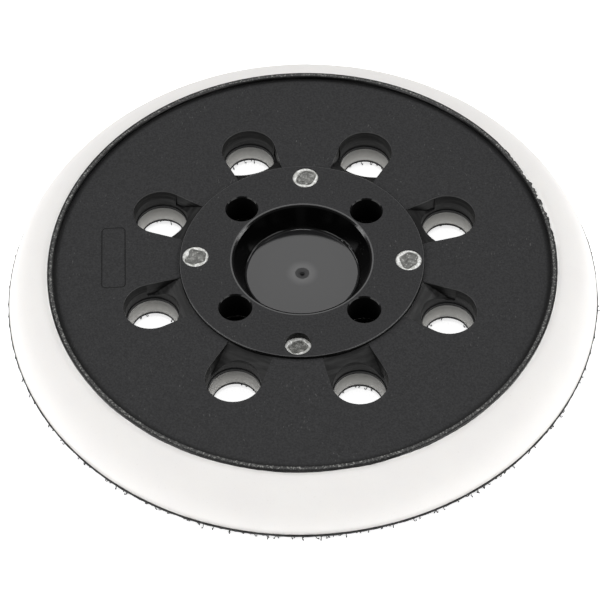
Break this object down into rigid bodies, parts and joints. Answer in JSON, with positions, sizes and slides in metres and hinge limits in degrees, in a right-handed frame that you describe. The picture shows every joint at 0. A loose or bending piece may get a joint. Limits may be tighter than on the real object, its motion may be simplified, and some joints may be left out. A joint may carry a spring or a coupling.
{
  "type": "orbital sander backing pad",
  "caption": "Round sander backing pad: black moulded plate with dust ports, screw holes and centre recess, pale foam cushion with flared edge, and a black hook face.",
  "frame": {"origin": "on the axis of rotation, level with the tips of the hooks", "axes": "+Z along the axis of rotation, from the hook face towards the sander; +X through a foam key, midway between two dust ports"},
  "size_m": [0.125, 0.125, 0.0107],
  "materials": {
    "plate": "glass-filled nylon, fine spark-eroded grain, satin in the recess",
    "foam": "off-white moulded polyurethane foam with a smooth matt skin",
    "foam_skin": "polyurethane foam with a glossy bubbled skin",
    "film": "hot-melt adhesive film",
    "hook_fabric": "black woven nylon",
    "hooks": "black nylon monofilament hooks"
  },
  "bodies": {
    "root": {"backing_plate": "plate", "foam_cushion": "foam", "foam_key_1": "foam_skin", "foam_key_2": "foam_skin", "foam_key_3": "foam_skin", "foam_key_4": "foam_skin", "bonding_film": "film", "hook_sheet": "hook_fabric", "hook_bed": "hooks"}
  },
  "joints": []
}
